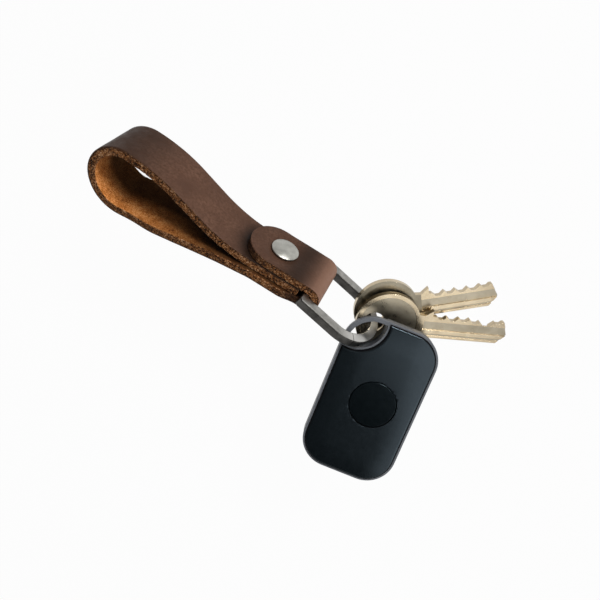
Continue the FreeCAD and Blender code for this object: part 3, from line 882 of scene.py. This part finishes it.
def dress_tag():
    """Shells of the tracker tag and its button."""
    front = plastic("tag_front", (0.0016, 0.0028, 0.0034), (0.0024, 0.0038, 0.0046), (0.21, 0.27),
                    depth=0.0015 * MM, Specular_IOR_Level=0.5, Specular_Tint=(0.68, 0.86, 1.0))
    rim = plastic("tag_rim", (0.085, 0.092, 0.104), (0.115, 0.123, 0.137), (0.40, 0.52))
    back = plastic("tag_back", (0.016, 0.018, 0.022), (0.022, 0.024, 0.029), (0.45, 0.58), depth=0.01 * MM)
    button = plastic("button", (0.0006, 0.0014, 0.0018), (0.0012, 0.0022, 0.0028), (0.16, 0.22),
                     depth=0.0005 * MM, Specular_IOR_Level=0.22, Specular_Tint=(0.66, 0.88, 1.0))
    # Painted shade: a dark, dull plastic on the cover's side walls, which stand in shade beside the rim
    cover_wall_shade = plastic("tag_wall_painted_shade", (0.002, 0.002, 0.003), (0.004, 0.004, 0.005), (0.7, 0.9),
                  Specular_IOR_Level=0.1)
    outward = -Vector(joints["button_press"]["axis"])
    cover = softened("front_cover", "tag", SHELL_ROUND, front)
    crowned_cover(cover)
    other_material(cover, cover_wall_shade, lambda face: face.normal.dot(outward) < TURNED)
    softened("tag_frame", "tag", FRAME_ROUND, rim)
    softened("back_shell", "tag", SHELL_ROUND, back)
    softened("battery_door", "door", SHELL_ROUND, back)
    softened("button_cap", "button", SHELL_ROUND, button)


def dress_inside():
    """Materials of the inner nodes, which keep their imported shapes."""
    materials = {
        "contact_steel": metal("contact_steel", (0.55, 0.54, 0.51), (0.70, 0.69, 0.66), (0.25, 0.38)),
        "cell_steel": metal("cell_steel", (0.52, 0.52, 0.51), (0.66, 0.66, 0.65), (0.18, 0.30)),
        "sounder_brass": metal("sounder_brass", (0.58, 0.40, 0.16), (0.80, 0.60, 0.28), (0.28, 0.42)),
        "ceramic": plastic("ceramic", (0.62, 0.59, 0.53), (0.75, 0.72, 0.66), (0.5, 0.7)),
        "board": plastic("board", (0.014, 0.085, 0.042), (0.022, 0.125, 0.062), (0.32, 0.45)),
        "chip": plastic("chip", (0.012, 0.012, 0.012), (0.022, 0.022, 0.022), (0.5, 0.65)),
        "capacitor": plastic("capacitor", (0.36, 0.25, 0.15), (0.48, 0.35, 0.21), (0.45, 0.6)),
        "gasket": plastic("gasket", (0.018, 0.018, 0.018), (0.032, 0.032, 0.032), (0.7, 0.85)),
    }
    for subpart in frame["record"]["subparts"]:
        if subpart["material_slot"] in materials:
            only_material(nodes[subpart["node"]].data, materials[subpart["material_slot"]])


# Studio and camera
def seen_rays(tree):
    """1 for what the camera sees, directly, in reflections or through glass, and 0 for other light."""
    path = tree.nodes.new("ShaderNodeLightPath").outputs
    mirrored = math_node(tree, "MAXIMUM", path["Is Glossy Ray"], path["Is Transmission Ray"])
    return math_node(tree, "MAXIMUM", path["Is Camera Ray"], mirrored)


def floor_material():
    """White sweep that stays white for the camera and in reflections, and keeps a soft shadow."""
    material = bpy.data.materials.new("floor_white")
    material.use_nodes = True
    tree = material.node_tree
    tree.nodes.clear()
    output = tree.nodes.new("ShaderNodeOutputMaterial")
    blend = tree.nodes.new("ShaderNodeMixShader")
    paper = tree.nodes.new("ShaderNodeBsdfDiffuse")
    glow = tree.nodes.new("ShaderNodeEmission")
    feed(tree, paper.inputs["Color"], FLOOR_PAPER)
    feed(tree, glow.inputs["Color"], WHITE)
    feed(tree, blend.inputs["Fac"], math_node(tree, "MULTIPLY", seen_rays(tree), FLOOR_GLOW))
    feed(tree, blend.inputs[1], paper.outputs[0])
    feed(tree, blend.inputs[2], glow.outputs[0])
    feed(tree, output.inputs["Surface"], blend.outputs[0])
    return material


def ground():
    """White floor below everything."""
    half = FLOOR_HALF
    corners = [(-half, -half), (half, -half), (half, half), (-half, half)]
    mesh = bpy.data.meshes.new("floor")
    mesh.from_pydata([(x, y, -FLOOR_DROP) for x, y in corners], [], [(0, 1, 2, 3)])
    mesh.materials.append(floor_material())
    floor = placed("floor", mesh)


def studio_world():
    """Soft light that is stronger from one side, with a white horizon like the floor."""
    world = bpy.data.worlds.new("studio")
    world.use_nodes = True
    tree = world.node_tree
    background = tree.nodes["Background"]
    place = tree.nodes.new("ShaderNodeTexCoord").outputs["Generated"]
    towards = tree.nodes.new("ShaderNodeVectorMath")
    towards.operation = "DOT_PRODUCT"
    feed(tree, towards.inputs[0], place)
    feed(tree, towards.inputs[1], WORLD_BRIGHT_SIDE)
    height = tree.nodes.new("ShaderNodeSeparateXYZ")
    feed(tree, height.inputs[0], place)
    light = graded(tree, towards.outputs["Value"], WORLD_TURN, 1.0, WORLD_DARK, WORLD_LIGHT)
    horizon = graded(tree, height.outputs["Z"], *HORIZON_FADE, HORIZON_WHITE, 0.0)
    white = math_node(tree, "MULTIPLY", horizon, seen_rays(tree))
    feed(tree, background.inputs["Color"], WHITE)
    feed(tree, background.inputs["Strength"], math_node(tree, "MAXIMUM", light, white))
    return world


def area_light(name, target, offset, size, watts):
    """Square soft light at an offset from a point, aimed at it."""
    data = bpy.data.lights.new(name, "AREA")
    data.shape = "SQUARE"
    data.size = size
    data.energy = watts
    lamp = placed(name, data)
    lamp.location = target + offset
    lamp.rotation_euler = (-offset).to_track_quat("-Z", "Y").to_euler()


def studio():
    """Floor, soft surrounding light and lamps."""
    ground()
    bpy.context.scene.world = studio_world()
    middle = (cad_box[0] + cad_box[1]) / 2
    turn = Matrix.Rotation(math.radians(CAMERA_TURN), 3, "Z")
    for name, (offset, size, watts) in LAMPS.items():
        area_light(name, middle, turn @ Vector(offset), size, watts)


def camera():
    """View of the photograph."""
    data = bpy.data.cameras.new("photo_camera")
    data.sensor_width = SENSOR
    data.lens = SENSOR
    data.clip_start = CLIP_START
    viewer = placed("photo_camera", data)
    viewer.location = Vector(joints["ring_swing"]["pos_m"]) + CAMERA_FROM_BAR
    viewer.rotation_euler = (0, 0, math.radians(CAMERA_TURN))
    bpy.context.scene.camera = viewer


random.seed(7)
edge_strands(leather_strap())
dress_metal()
dress_tag()
dress_inside()
studio()
camera()
bpy.context.scene.view_settings.view_transform = "Standard"
